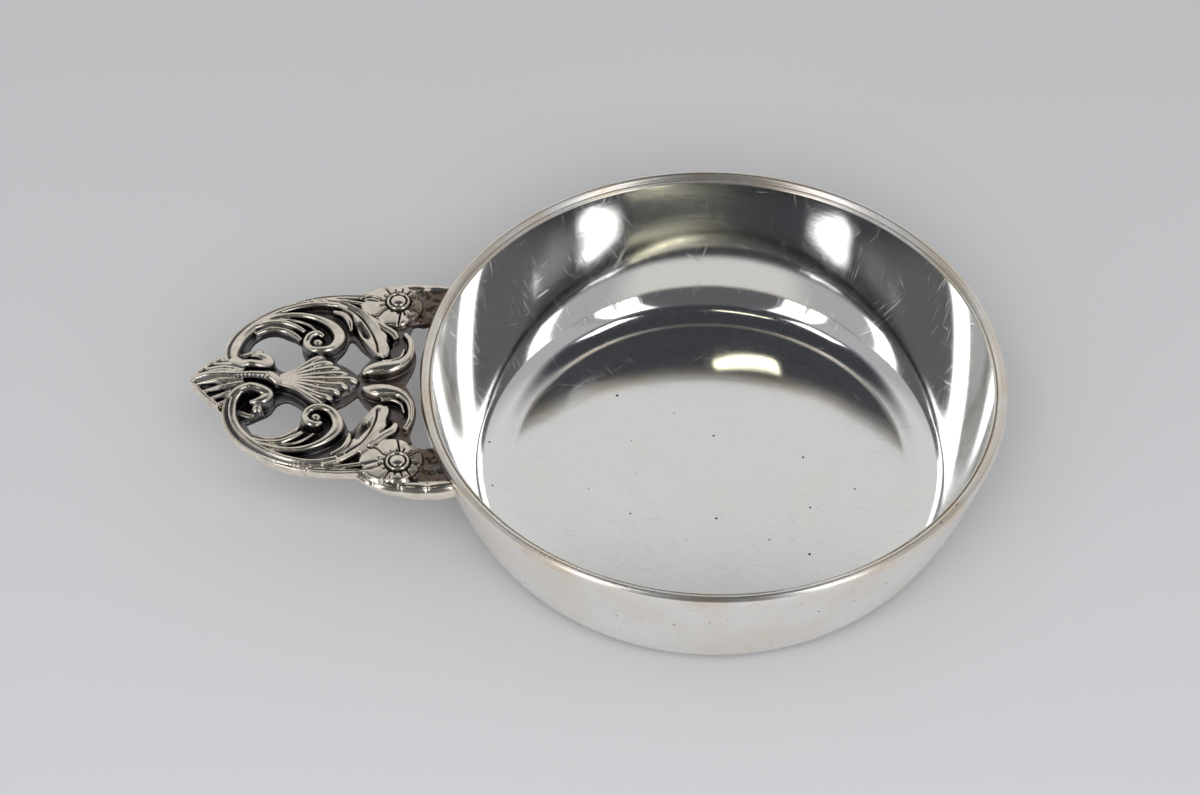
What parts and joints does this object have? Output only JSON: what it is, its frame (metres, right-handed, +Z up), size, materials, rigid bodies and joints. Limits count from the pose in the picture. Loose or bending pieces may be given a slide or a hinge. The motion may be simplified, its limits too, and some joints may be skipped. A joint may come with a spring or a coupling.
{
  "type": "porringer",
  "caption": "Shallow round silver bowl with a flat base, rounded heel, half-round rim wire and a pierced cast scroll handle with a leaf tip, soldered at two lugs.",
  "frame": {"origin": "centre of the bowl's flat base, on the surface that it stands on", "axes": "+Z up out of the bowl, the handle points along -X, Y across the handle"},
  "size_m": [0.1587, 0.1142, 0.0338],
  "materials": {
    "polished_silver": "polished sterling silver, fine scratches and a faint warm tarnish",
    "rim_silver": "polished drawn silver wire",
    "cast_silver": "cast silver, tops polished, recesses oxidised dark brown",
    "solder": "dull silver solder"
  },
  "bodies": {
    "root": {"bowl": "polished_silver", "rim_wire": "rim_silver", "handle": "cast_silver", "solder_fillet_left": "solder", "solder_fillet_right": "solder"}
  },
  "joints": []
}
